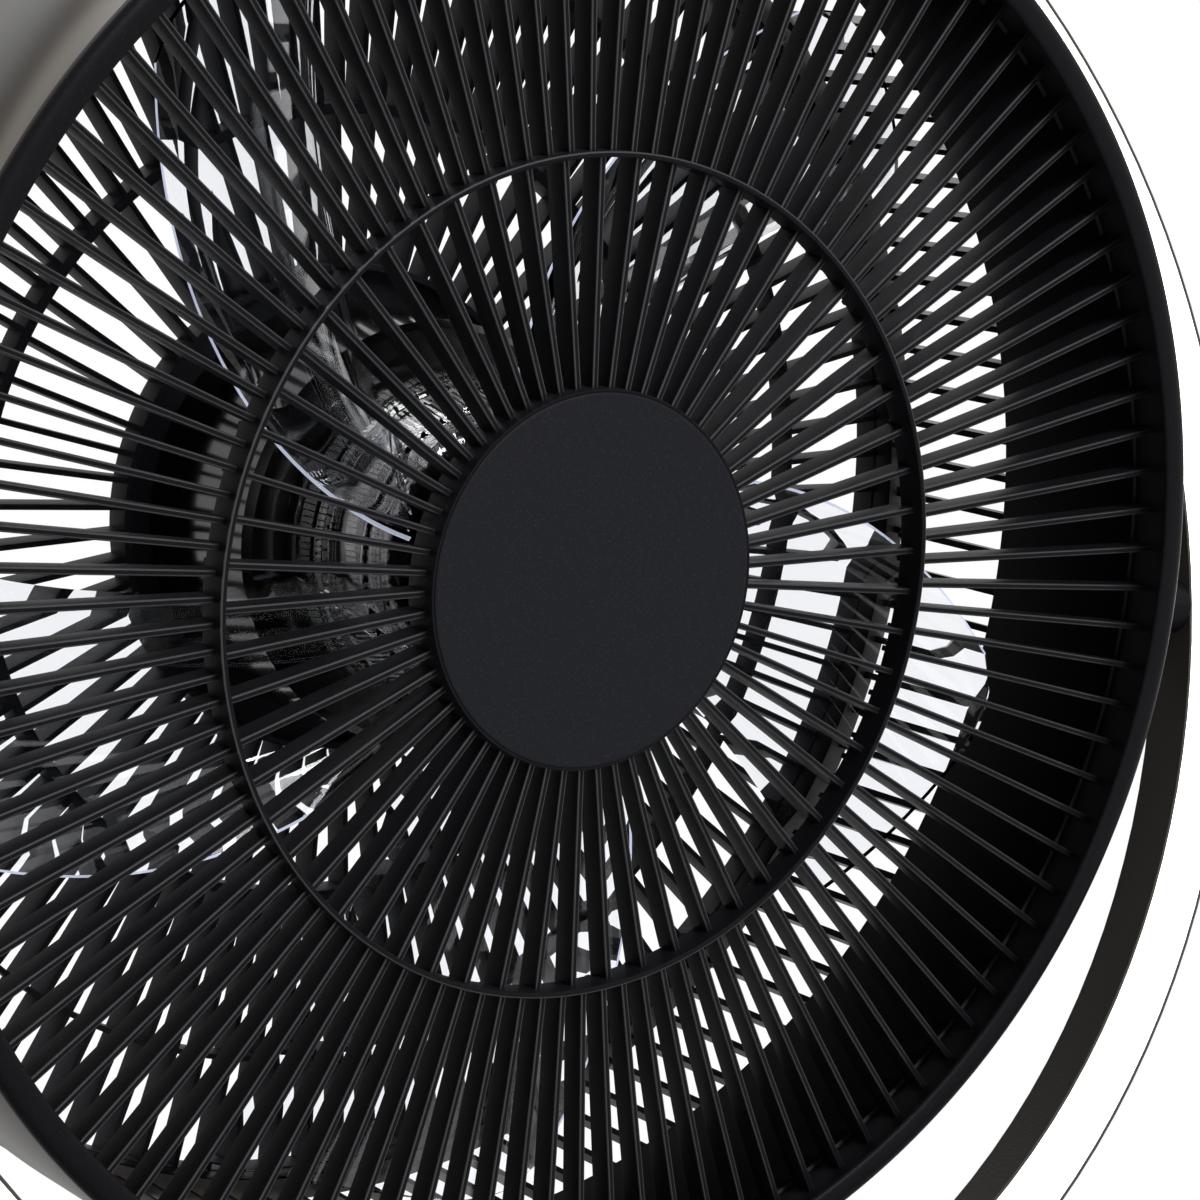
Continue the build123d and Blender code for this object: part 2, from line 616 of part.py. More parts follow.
def control_base():
    """Floor of the control housing with the socket that grips the column."""
    plate = housing_body(
        HOUSING_RADIUS - HOUSING_WALL, PANEL_OFFSET - HOUSING_WALL, HOUSING_BOTTOM,
        HOUSING_BOTTOM + BASE_THICKNESS)
    socket = rod(COLUMN_RADIUS + SOCKET_WALL, HOUSING_BOTTOM, COLUMN_TOP)
    return plate + socket - rod(COLUMN_RADIUS, HOUSING_BOTTOM - CUT_EXTRA, COLUMN_TOP + CUT_EXTRA)


def push_button(level):
    """Push button with a collar that holds it behind the panel."""
    face = -PANEL_OFFSET - KEY_PROUD
    collar_front = -PANEL_OFFSET + HOUSING_WALL + SEAT_GAP
    key = Pos(0, (face + collar_front) / 2, level) * Box(KEY_WIDTH, collar_front - face, KEY_HEIGHT)
    collar = Pos(0, collar_front + KEY_COLLAR / 2, level) * Box(
        KEY_WIDTH + 2 * KEY_COLLAR, KEY_COLLAR, KEY_HEIGHT + 2 * KEY_COLLAR)
    return key + collar


def board_front():
    """Front face of the control board, behind the keys' travel and the switches."""
    collar_back = -PANEL_OFFSET + HOUSING_WALL + SEAT_GAP + KEY_COLLAR
    return collar_back + KEY_TRAVEL + SEAT_GAP + SWITCH_HEIGHT


def control_board():
    """Small circuit board behind the panel with one tactile switch per key."""
    levels = key_levels()
    front = board_front()
    board = Pos(0, front + BOARD_THICKNESS / 2, key_middle()) * Box(
        2 * post_offset() + BOARD_POST, BOARD_THICKNESS, levels[0] - levels[-1] + KEY_PITCH)
    for level in levels:
        board += Pos(0, front - SWITCH_HEIGHT / 2, level) * Box(SWITCH_SIDE, SWITCH_HEIGHT, SWITCH_SIDE)
    return board


def centre_column():
    """Straight tube that carries the head and slides in the tripod hub."""
    return tube(COLUMN_RADIUS, COLUMN_RADIUS - COLUMN_WALL, COLUMN_BOTTOM, COLUMN_TOP)


def column_end_cap():
    """Plug in the column's lower end, wide enough to stop it at the hub."""
    neck = COLUMN_RADIUS - COLUMN_WALL
    flange = COLUMN_RADIUS + END_CAP_LIP
    return turned([
        (0, COLUMN_BOTTOM + END_CAP_NECK), (neck, COLUMN_BOTTOM + END_CAP_NECK),
        (neck, COLUMN_BOTTOM), (flange, COLUMN_BOTTOM), (flange, COLUMN_BOTTOM - END_CAP_FLANGE),
        (0, COLUMN_BOTTOM - END_CAP_FLANGE),
    ])


def leg_place(turn):
    """Place of a leg's hinge axis: X points outwards and Y runs along the pin."""
    return Rot(0, 0, turn) * Pos(LEG_HINGE_RADIUS, 0, LEG_HINGE_HEIGHT)


def tripod_hub():
    """Hub casting: sleeve for the column, three pairs of leg lugs and the clamp's boss."""
    top = HUB_BOTTOM + HUB_HEIGHT
    bore = COLUMN_RADIUS + RUNNING_FIT
    lug_width = KNUCKLE_WIDTH + 2 * MOVING_GAP + 2 * LUG_THICKNESS
    lug_height = LEG_HINGE_RISE + KNUCKLE_RADIUS
    reach = LEG_HINGE_RADIUS + KNUCKLE_RADIUS
    slot_start = LEG_HINGE_RADIUS - KNUCKLE_RADIUS - 2 * MOVING_GAP
    hub = rod(HUB_RADIUS, HUB_BOTTOM, top)
    for turn in LEG_TURNS:
        lug = Pos(reach / 2, 0, HUB_BOTTOM + lug_height / 2) * Box(reach, lug_width, lug_height)
        lug = chamfer(lug.edges().filter_by(Axis.Y).sort_by(Axis.X)[-2:], LUG_CORNER)
        hub += Rot(0, 0, turn) * lug
    hub += bar_y(2 * KNOB_STUD_RADIUS, bore, knob_face(), z=knob_level())
    for turn in LEG_TURNS:
        slot = Pos(slot_start + reach / 2, 0, HUB_BOTTOM) * Box(
            reach, KNUCKLE_WIDTH + 2 * MOVING_GAP, 4 * lug_height)
        hub -= Rot(0, 0, turn) * slot
        hub -= leg_place(turn) * Rot(90, 0, 0) * Cylinder(LEG_PIN_RADIUS, 2 * lug_width)
    hub -= rod(bore, HUB_BOTTOM - CUT_EXTRA, top + CUT_EXTRA)
    return hub - bar_y(KNOB_STUD_RADIUS + RUNNING_FIT, 0, knob_face() + CUT_EXTRA, z=knob_level())


def knob_level():
    """Height of the column clamp's axis."""
    return HUB_BOTTOM + HUB_HEIGHT - 3 * KNOB_STUD_RADIUS


def knob_face():
    """Outer face of the clamp's boss on the hub."""
    return HUB_RADIUS + KNOB_NECK


def clamp_knob():
    """Faceted knob with the stud that locks the column."""
    start = knob_face() + MOVING_GAP
    grip = Pos(0, start, 0) * Rot(-90, 0, 0) * extrude(RegularPolygon(KNOB_RADIUS, KNOB_SIDES), KNOB_LENGTH)
    stud = bar_y(KNOB_STUD_RADIUS, COLUMN_RADIUS + RUNNING_FIT + MOVING_GAP, start + KNOB_LENGTH / 2)
    return Pos(0, 0, knob_level()) * (grip + stud)


def leg_pins():
    """Three plain hinge pins across the hub's lugs."""
    length = KNUCKLE_WIDTH + 2 * MOVING_GAP + 2 * LUG_THICKNESS
    return Compound(children=[
        leg_place(turn) * Rot(90, 0, 0) * Cylinder(LEG_PIN_RADIUS, length) for turn in LEG_TURNS
    ])


def leg_length():
    """Distance from the hinge pin to the leg's lower end, inside the foot."""
    drop = LEG_HINGE_HEIGHT - FOOT_REST
    return drop / cos(radians(LEG_LEAN))


def shoulder():
    """Distance from the hinge pin at which the leg may be wider than the gap between its lugs."""
    return sqrt(LEG_HINGE_RISE ** 2 + KNUCKLE_RADIUS ** 2) + MOVING_GAP


def leg():
    """Leg tube, drawn hanging straight down from its pin."""
    return tube(LEG_RADIUS, LEG_RADIUS - LEG_WALL, -leg_length(), -shoulder() - KNUCKLE_COLLAR)


def leg_knuckle():
    """Hinge eye, neck, collar and plug at the top of a leg, drawn hanging straight down."""
    collar_bottom = -shoulder() - KNUCKLE_COLLAR
    collar = rod(LEG_RADIUS, collar_bottom, -shoulder())
    plug = rod(LEG_RADIUS - LEG_WALL, collar_bottom - KNUCKLE_PLUG, collar_bottom)
    eye = Rot(90, 0, 0) * Cylinder(KNUCKLE_RADIUS, KNUCKLE_WIDTH)
    neck = Pos(0, 0, -shoulder() / 2) * Box(2 * KNUCKLE_RADIUS, KNUCKLE_WIDTH, shoulder())
    bore = Rot(90, 0, 0) * Cylinder(LEG_PIN_RADIUS + RUNNING_FIT, 2 * KNUCKLE_WIDTH)
    return collar + plug + eye + neck - bore


def foot():
    """Rubber boot on the leg's lower end, cut flat where it stands on the floor."""
    end = Rot(0, -LEG_LEAN, 0) * Pos(0, 0, -leg_length())
    boot = end * rod(BOOT_RADIUS, -FOOT_SLEEVE, FOOT_SLEEVE)
    ground = Pos(FOOT_CIRCLE_RADIUS - LEG_HINGE_RADIUS, 0, -LEG_HINGE_HEIGHT - FOOT_SLEEVE) * Box(
        4 * FOOT_SLEEVE, 4 * FOOT_SLEEVE, 2 * FOOT_SLEEVE)
    return boot - ground - end * rod(LEG_RADIUS, 0, 2 * FOOT_SLEEVE)


add("front_grille", front_grille(), HEAD_PLACE)
add("grille_cap", grille_cap(), HEAD_PLACE)
add("drum", drum(), HEAD_PLACE)
add("rear_grille", rear_grille(), HEAD_PLACE)
add("motor_housing", motor_housing(), HEAD_PLACE)
add("stator", stator(), HEAD_PLACE)
add("rotor", rotor(), HEAD_PLACE)
add("motor_shaft", motor_shaft(), HEAD_PLACE)
add("motor_cover", motor_cover(), HEAD_PLACE)
add("impeller", impeller(), HEAD_PLACE)
add("impeller_nut", impeller_nut(), HEAD_PLACE)
add("light_channel", light_channel(), LIGHT_PLACE)
add("light_diffuser", light_diffuser(), LIGHT_PLACE)
add("pivot_pins", pivot_pins(), LIGHT_PLACE)
add("friction_washers", friction_washers(), LIGHT_PLACE)
add("ring_stem", ring_stem())
add("stem_retainer", stem_retainer())
add("control_housing", control_housing())
add("control_base", control_base())
add("control_board", control_board())
add("power_inlet", power_inlet())
for name, level in zip(BUTTON_NAMES, key_levels()):
    add(name, push_button(level))
add("centre_column", centre_column())
add("column_end_cap", column_end_cap())
add("tripod_hub", tripod_hub())
add("clamp_knob", clamp_knob())
add("leg_pins", leg_pins())
for number, turn in enumerate(LEG_TURNS, start=1):
    add(f"leg_{number}", leg_place(turn) * Rot(0, -LEG_LEAN, 0) * leg())
    add(f"leg_knuckle_{number}", leg_place(turn) * Rot(0, -LEG_LEAN, 0) * leg_knuckle())
    add(f"foot_{number}", leg_place(turn) * foot())

os.makedirs("parts", exist_ok=True)
for name, shape in parts.items():
    export_step(shape, f"parts/{name}.step")
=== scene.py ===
import json
import math
import bmesh
import bpy
from mathutils import Matrix, Vector


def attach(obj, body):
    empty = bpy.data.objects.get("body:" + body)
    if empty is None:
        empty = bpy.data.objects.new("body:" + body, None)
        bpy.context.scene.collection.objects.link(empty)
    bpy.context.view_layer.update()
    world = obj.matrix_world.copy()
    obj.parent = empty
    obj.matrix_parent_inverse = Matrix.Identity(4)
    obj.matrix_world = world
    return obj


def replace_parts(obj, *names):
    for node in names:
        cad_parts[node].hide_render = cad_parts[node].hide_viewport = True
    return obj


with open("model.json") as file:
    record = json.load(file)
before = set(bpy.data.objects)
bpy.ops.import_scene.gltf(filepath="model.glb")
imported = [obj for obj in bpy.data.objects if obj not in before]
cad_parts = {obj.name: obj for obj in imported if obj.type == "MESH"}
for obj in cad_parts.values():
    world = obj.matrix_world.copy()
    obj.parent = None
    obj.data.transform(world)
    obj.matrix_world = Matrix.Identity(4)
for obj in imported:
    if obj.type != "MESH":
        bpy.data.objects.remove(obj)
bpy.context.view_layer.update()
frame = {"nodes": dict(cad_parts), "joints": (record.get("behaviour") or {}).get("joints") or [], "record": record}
nodes = frame["nodes"]
scene = bpy.context.scene

# The head turns about its pivots, level with the middle of the ring light.
# In the head's own frame Z is the depth behind the rim's front face and Y points down.
PIVOT = next(Vector(joint["pos_m"]) for joint in frame["joints"] if joint["name"] == "head_tilt")
HEAD_TILT = math.radians(13.0)
TILT_AXIS_DEPTH = 0.0218
HEAD_PLACE = (Matrix.Translation(PIVOT) @ Matrix.Rotation(HEAD_TILT - math.pi / 2, 4, "X")
              @ Matrix.Translation((0.0, 0.0, -TILT_AXIS_DEPTH)))
MM = 0.001

# The camera stands to the left of the head, a little below its pivots
CAMERA_OFFSET = Vector((-0.5704, -0.7996, -0.0764))
CAMERA_YAW = math.radians(36.09)
CAMERA_PITCH = math.radians(4.02)
SENSOR = 36.0
LENS = 114.5

FLOOR_SIDE = 14.0


# Node helpers

NODE_SETTINGS = ("operation", "data_type", "use_clamp", "node_tree")


def node(tree, kind, **values):
    """Add a node, with its settings and its inputs given by name."""
    made = tree.nodes.new(kind)
    for name, value in values.items():
        if name in NODE_SETTINGS:
            setattr(made, name, value)
        else:
            made.inputs[name.replace("_", " ")].default_value = value
    return made


def effect_group(name, inputs, outputs):
    """Start a shader node group with named number and colour sockets."""
    tree = bpy.data.node_groups.new(name, "ShaderNodeTree")
    for label, kind, value in inputs:
        item = tree.interface.new_socket(name=label, in_out="INPUT", socket_type=kind)
        item.default_value = value
    for label, kind in outputs:
        tree.interface.new_socket(name=label, in_out="OUTPUT", socket_type=kind)
    return tree, tree.nodes.new("NodeGroupInput"), tree.nodes.new("NodeGroupOutput")


def moulded_grain_group():
    """Fine spark-eroded skin of moulded plastic and powder coat, with slow unevenness."""
    tree, given, result = effect_group(
        "moulded grain",
        [("Size", "NodeSocketFloat", 0.0005), ("Roughness", "NodeSocketFloat", 0.4),
         ("Unevenness", "NodeSocketFloat", 0.06)],
        [("Height", "NodeSocketFloat"), ("Roughness", "NodeSocketFloat")])
    place = node(tree, "ShaderNodeTexCoord")
    scale = node(tree, "ShaderNodeMath", operation="DIVIDE")
    scale.inputs[0].default_value = 1.0
    tree.links.new(given.outputs["Size"], scale.inputs[1])
    grain = node(tree, "ShaderNodeTexNoise", Detail=2.0, Roughness=0.6)
    tree.links.new(place.outputs["Object"], grain.inputs["Vector"])
    tree.links.new(scale.outputs[0], grain.inputs["Scale"])
    tree.links.new(grain.outputs["Fac"], result.inputs["Height"])
    slow = node(tree, "ShaderNodeTexNoise", Scale=9.0, Detail=3.0, Roughness=0.55)
    tree.links.new(place.outputs["Object"], slow.inputs["Vector"])
    centred = node(tree, "ShaderNodeMath", operation="SUBTRACT")
    centred.inputs[1].default_value = 0.5
    tree.links.new(slow.outputs["Fac"], centred.inputs[0])
    spread = node(tree, "ShaderNodeMath", operation="MULTIPLY")
    tree.links.new(centred.outputs[0], spread.inputs[0])
    tree.links.new(given.outputs["Unevenness"], spread.inputs[1])
    total = node(tree, "ShaderNodeMath", operation="ADD", use_clamp=True)
    tree.links.new(given.outputs["Roughness"], total.inputs[0])
    tree.links.new(spread.outputs[0], total.inputs[1])
    tree.links.new(total.outputs[0], result.inputs["Roughness"])
    return tree


def pearl_fleck_group():
    """Tiny bright flecks scattered in a dark base, as in pearl-effect moulded plastic."""
    tree, given, result = effect_group(
        "pearl fleck",
        [("Base", "NodeSocketColor", (0.03, 0.03, 0.035, 1.0)),
         ("Fleck", "NodeSocketColor", (0.16, 0.16, 0.17, 1.0)),
         ("Size", "NodeSocketFloat", 0.0006), ("Amount", "NodeSocketFloat", 0.12)],
        [("Color", "NodeSocketColor")])
    place = node(tree, "ShaderNodeTexCoord")
    scale = node(tree, "ShaderNodeMath", operation="DIVIDE")
    scale.inputs[0].default_value = 1.0
    tree.links.new(given.outputs["Size"], scale.inputs[1])
    cells = node(tree, "ShaderNodeTexVoronoi", Randomness=1.0)
    tree.links.new(place.outputs["Object"], cells.inputs["Vector"])
    tree.links.new(scale.outputs[0], cells.inputs["Scale"])
    pick = node(tree, "ShaderNodeSeparateColor")
    tree.links.new(cells.outputs["Color"], pick.inputs["Color"])
    chosen = node(tree, "ShaderNodeMath", operation="LESS_THAN")
    tree.links.new(pick.outputs[0], chosen.inputs[0])
    tree.links.new(given.outputs["Amount"], chosen.inputs[1])
    centre = node(tree, "ShaderNodeMapRange", From_Min=0.0, From_Max=0.5, To_Min=1.0, To_Max=0.0)
    tree.links.new(cells.outputs["Distance"], centre.inputs["Value"])
    mask = node(tree, "ShaderNodeMath", operation="MULTIPLY")
    tree.links.new(chosen.outputs[0], mask.inputs[0])
    tree.links.new(centre.outputs[0], mask.inputs[1])
    tint = node(tree, "ShaderNodeMix", data_type="RGBA")
    tree.links.new(mask.outputs[0], tint.inputs["Factor"])
    tree.links.new(given.outputs["Base"], tint.inputs[6])
    tree.links.new(given.outputs["Fleck"], tint.inputs[7])
    tree.links.new(tint.outputs[2], result.inputs["Color"])
    return tree


MOULDED_GRAIN = moulded_grain_group()
PEARL_FLECK = pearl_fleck_group()


def new_material(name, **values):
    """Material with one Principled shader and plain values on its sockets."""
    material = bpy.data.materials.new(name)
    material.use_nodes = True
    tree = material.node_tree
    shader = tree.nodes["Principled BSDF"]
    for label, value in values.items():
        shader.inputs[label.replace("_", " ")].default_value = value
    return material, tree, shader


def add_grain(tree, shader, size, depth, roughness, unevenness=0.06):
    """Wire the moulded grain group to roughness and a bump."""
    grain = node(tree, "ShaderNodeGroup", node_tree=MOULDED_GRAIN, Size=size, Roughness=roughness,
                 Unevenness=unevenness)
    bump = node(tree, "ShaderNodeBump", Strength=1.0, Distance=depth)
    tree.links.new(grain.outputs["Height"], bump.inputs["Height"])
    tree.links.new(bump.outputs["Normal"], shader.inputs["Normal"])
    tree.links.new(grain.outputs["Roughness"], shader.inputs["Roughness"])


def add_fleck(tree, shader, base, fleck, size, amount):
    """Wire the pearl fleck group to the base colour."""
    pearl = node(tree, "ShaderNodeGroup", node_tree=PEARL_FLECK, Base=(*base, 1.0), Fleck=(*fleck, 1.0),
                 Size=size, Amount=amount)
    tree.links.new(pearl.outputs["Color"], shader.inputs["Base Color"])


def satin_black_plastic():
    material, tree, shader = new_material("satin black plastic", Specular_IOR_Level=0.05)
    add_fleck(tree, shader, (0.0080, 0.0081, 0.0100), (0.03, 0.03, 0.034), 0.0005, 0.08)
    add_grain(tree, shader, 0.0004, 0.000006, 0.38)
    return material


# Lighter, much glossier copy of the satin black plastic for the eased front corners of grille ribs and middle
# ring: painted highlight lines
def painted_highlight_edge():
    material, tree, shader = new_material("satin black plastic painted highlight edge", Specular_IOR_Level=0.70)
    add_fleck(tree, shader, (0.0125, 0.0127, 0.0152), (0.04, 0.04, 0.044), 0.0005, 0.08)
    add_grain(tree, shader, 0.0004, 0.000004, 0.30)
    return material


def cap_plastic():
    material, tree, shader = new_material("pearl black cap plastic", Specular_IOR_Level=0.06)
    add_fleck(tree, shader, (0.0135, 0.0141, 0.0178), (0.045, 0.046, 0.05), 0.0004, 0.16)
    add_grain(tree, shader, 0.0005, 0.000012, 0.50)
    return material


def gloss_black_plastic():
    material, tree, shader = new_material("gloss black plastic", Specular_IOR_Level=0.34)
    add_fleck(tree, shader, (0.050, 0.044, 0.040), (0.065, 0.058, 0.053), 0.0005, 0.10)
    add_grain(tree, shader, 0.0030, 0.000003, 0.33, 0.10)
    return material


# Near-black copy of the drum's plastic for its inward faces: painted shade inside the drum
def drum_inside_painted_shade():
    material, tree, shader = new_material("drum inside painted shade", Specular_IOR_Level=0.03)
    add_fleck(tree, shader, (0.0022, 0.0022, 0.0024), (0.006, 0.006, 0.006), 0.0006, 0.10)
    add_grain(tree, shader, 0.0006, 0.00001, 0.45)
    return material


# Bluish, faintly glowing copy of the clear plastic for the blades' front edges: painted highlight
def blade_edge_painted_glint():
    material, tree, shader = new_material(
        "clear plastic painted edge glint", Transmission_Weight=0.45, IOR=1.49, Metallic=0.0)
    add_fleck(tree, shader, (0.60, 0.66, 0.95), (0.80, 0.85, 1.0), 0.0030, 0.25)
    add_grain(tree, shader, 0.0040, 0.000010, 0.22, 0.10)
    shader.inputs["Emission Color"].default_value = (0.75, 0.80, 1.0, 1.0)
    shader.inputs["Emission Strength"].default_value = 0.45
    return material


def gloss_black_paint():
    material, tree, shader = new_material("gloss black paint", Specular_IOR_Level=0.5)
    add_fleck(tree, shader, (0.004, 0.004, 0.004), (0.008, 0.008, 0.008), 0.0004, 0.10)
    add_grain(tree, shader, 0.0060, 0.000002, 0.12, 0.08)
    return material


def wrinkle_black_paint():
    material, tree, shader = new_material("wrinkle black paint", Specular_IOR_Level=0.14)
    add_fleck(tree, shader, (0.0640, 0.0600, 0.0560), (0.10, 0.098, 0.095), 0.0005, 0.15)
    add_grain(tree, shader, 0.0011, 0.00010, 0.42)
    return material


def satin_black_paint():
    material, tree, shader = new_material("satin black powder coat", Specular_IOR_Level=0.35)
    add_fleck(tree, shader, (0.009, 0.009, 0.010), (0.03, 0.03, 0.032), 0.0005, 0.10)
    add_grain(tree, shader, 0.0006, 0.00002, 0.40)
    return material


def clear_plastic():
    material, tree, shader = new_material(
        "clear plastic", Transmission_Weight=1.0, IOR=1.49, Metallic=0.0)
    add_fleck(tree, shader, (0.95, 0.965, 1.0), (0.90, 0.93, 1.0), 0.0040, 0.10)
    add_grain(tree, shader, 0.0100, 0.000002, 0.012, 0.01)
    return material


def opal_light():
    material, tree, shader = new_material("opal light", Roughness=0.4)
    add_fleck(tree, shader, (0.90, 0.88, 0.84), (0.86, 0.84, 0.80), 0.0008, 0.10)
    add_grain(tree, shader, 0.0010, 0.000005, 0.45)
    shader.inputs["Emission Color"].default_value = (1.0, 0.90, 0.78, 1.0)
    shader.inputs["Emission Strength"].default_value = 2.4
    return material


def steel():
    material, tree, shader = new_material("turned steel", Metallic=1.0)
    add_fleck(tree, shader, (0.55, 0.55, 0.57), (0.7, 0.7, 0.7), 0.0004, 0.2)
    add_grain(tree, shader, 0.0003, 0.000004, 0.28)
    return material


def dark_core():
    material, tree, shader = new_material("brushed dark core", Metallic=1.0)
    add_fleck(tree, shader, (0.235, 0.225, 0.215), (0.33, 0.32, 0.31), 0.0006, 0.2)
    add_grain(tree, shader, 0.0030, 0.000004, 0.16, 0.12)
    return material


def black_steel():
    material, tree, shader = new_material("black steel", Metallic=1.0)
    add_fleck(tree, shader, (0.03, 0.03, 0.033), (0.06, 0.06, 0.065), 0.0004, 0.2)
    add_grain(tree, shader, 0.0003, 0.000004, 0.35)
    return material


def rubber():
    material, tree, shader = new_material("matt black rubber", Specular_IOR_Level=0.3)
    add_fleck(tree, shader, (0.012, 0.012, 0.012), (0.03, 0.03, 0.03), 0.0008, 0.1)
    add_grain(tree, shader, 0.0008, 0.00003, 0.75)
    return material


def board_green():
    material, tree, shader = new_material("green board")
    add_fleck(tree, shader, (0.03, 0.20, 0.09), (0.1, 0.3, 0.15), 0.001, 0.1)
    add_grain(tree, shader, 0.0006, 0.00001, 0.35)
    return material


FINISHES = {
    "satin_black_plastic": satin_black_plastic(),
    "grey_black_plastic": cap_plastic(),
    "gloss_black_plastic": gloss_black_plastic(),
    "gloss_black_paint": gloss_black_paint(),
    "textured_black_paint": wrinkle_black_paint(),
    "satin_black_paint": satin_black_paint(),
    "clear_plastic": clear_plastic(),
    "opal_plastic": opal_light(),
    "steel": steel(),
    "black_steel": black_steel(),
    "lamination_steel": steel(),
    "magnet": black_steel(),
    "rubber": rubber(),
    "board_green": board_green(),
    "drum_inside_painted_shade": drum_inside_painted_shade(),
    "blade_edge_painted_glint": blade_edge_painted_glint(),
    "painted_highlight_edge": painted_highlight_edge(),
    "dark_core": dark_core(),
}
slot_of = {part["node"]: part["material_slot"] for part in frame["record"]["subparts"]}
for name, thing in nodes.items():
    thing.data.materials.clear()
    thing.data.materials.append(FINISHES[slot_of[name]])


# Mesh helpers for the head, in millimetres in the head's own frame

SHARP_ANGLE = math.radians(32.0)


class Mesh:
    """Vertices and faces of one piece, gathered shape by shape. A face marked 1 has the second finish."""

    def __init__(self):
        self.points = []
        self.faces = []
        self.marks = []

    def add(self, points, faces):
        """Add faces and their points."""
        base = len(self.points)
        self.points += points
        self.faces += [tuple(base + i for i in face) for face in faces]
        self.marks += [0] * len(faces)

    def turned(self, profile, steps=240, edges=()):
        """Add a closed outline of radius and depth points turned about the axis; edges are marked sides."""
        count = len(profile)
        points = []
        faces = []
        for i in range(steps):
            angle = 2 * math.pi * i / steps
            points += [(r * math.cos(angle), r * math.sin(angle), d) for r, d in profile]
        for i in range(steps):
            following = (i + 1) % steps
            for j in range(count):
                k = (j + 1) % count
                faces.append((i * count + j, i * count + k, following * count + k, following * count + j))
        self.add(points, faces)
        for i in range(steps):
            for j in edges:
                self.marks[i * count + j - len(faces)] = 1

    def rib(self, profile, start, end, angle, edges):
        """Add a straight radial rib with a closed outline of sideways and depth points."""
        count = len(profile)
        c, s = math.cos(angle), math.sin(angle)
        points = [(r * c - w * s, r * s + w * c, d) for r in (start, end) for w, d in profile]
        faces = [(j, (j + 1) % count, count + (j + 1) % count, count + j) for j in range(count)]
        faces += [tuple(reversed(range(count))), tuple(range(count, 2 * count))]
        self.add(points, faces)
        for j in edges:
            self.marks[j - len(faces)] = 1

    def ribs(self, profile, start, end, count, turn, edges=()):
        """Add ribs spaced evenly round the axis, the first at turn degrees; edges are marked sides."""
        for i in range(count):
            self.rib(profile, start, end, math.radians(turn) + 2 * math.pi * i / count, edges)

    def rod_x(self, radius, start, end, depth, steps=48):
        """Add a round bar along X."""
        points = []
        for x in (start, end):
            for i in range(steps):
                angle = 2 * math.pi * i / steps
                points.append((x, radius * math.cos(angle), depth + radius * math.sin(angle)))
        faces = [(i, (i + 1) % steps, steps + (i + 1) % steps, steps + i) for i in range(steps)]
        faces += [tuple(reversed(range(steps))), tuple(range(steps, 2 * steps))]
        self.add(points, faces)

    def finish(self, name, body, slot, others=(), look=None):
        """Make the piece, in its place, on its body and in its slot's finish, or in the look named."""
        mesh = bpy.data.meshes.new(name)
        mesh.from_pydata([HEAD_PLACE @ (Vector(point) * MM) for point in self.points], [], self.faces)
        flat = bmesh.new()
        flat.from_mesh(mesh)
        bmesh.ops.recalc_face_normals(flat, faces=flat.faces)
        flat.to_mesh(mesh)
        flat.free()
        mesh.shade_smooth()
        mesh.set_sharp_from_angle(angle=SHARP_ANGLE)
        for finish in (look or slot, *others):
            mesh.materials.append(FINISHES[finish])
        mesh.polygons.foreach_set("material_index", self.marks)
        thing = bpy.data.objects.new(name, mesh)
        scene.collection.objects.link(thing)
        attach(thing, body)
        return thing


def rounded(points, radius, steps=3):
    """Closed outline with every corner eased by a short curve."""
    eased = []
    for i, corner in enumerate(points):
        here = Vector(corner)
        before = Vector(points[i - 1]) - here
        after = Vector(points[(i + 1) % len(points)]) - here
        start = here + before * min(radius / before.length, 0.5)
        end = here + after * min(radius / after.length, 0.5)
        for j in range(steps + 1):
            t = j / steps
            eased.append(tuple(start * (1 - t) ** 2 + here * 2 * t * (1 - t) + end * t ** 2))
    return eased


def band(inner, outer, front, back, radius, steps=3):
    """Outline of a plain ring with eased edges."""
    return rounded([(inner, front), (outer, front), (outer, back), (inner, back)], radius, steps)


# Front grille: the model's sizes, with eased edges, slightly tapered ribs and a shallower middle ring
HEAD_RADIUS = 200.0
RIM_INNER = 192.5
SKIRT_INNER = 196.4
SKIRT_OUTER = 197.6
RIM_EDGE = 3.5
SPOKE_FRONT = 9.3
GRILLE_BACK = 17.3
SPOKE_HALF_FRONT = 0.9
SPOKE_HALF_BACK = 0.75
SPOKE_EASE = 0.45
INNER_SPOKES = 60
INNER_TURN = 5.2
OUTER_SPOKES = 108
OUTER_TURN = 1.4867
RING_FRONT = 6.0
RING_BACK = 15.2
MID_RING = 108.5
MID_RING_HALF = 0.8
CAP_RADIUS = 48.6
CAP_FRONT = 6.0
CAP_BACK = 8.5
CAP_GAP = 0.02
HUB_LIP = 6.3
HUB_OUTER = 49.4
HUB_INNER = 46.1
HUB_FLOOR = 11.0
SPOKE_ROOT = 49.0
SPOKE_END = 197.0

# Sides of a rounded four-cornered outline, which take the painted highlight copy of the plastic: both front
# corners, and the outer front corner alone
FRONT_CORNERS = (0, 1, 2, 4, 5, 6)
OUTER_FRONT_CORNER = (4, 5, 6)


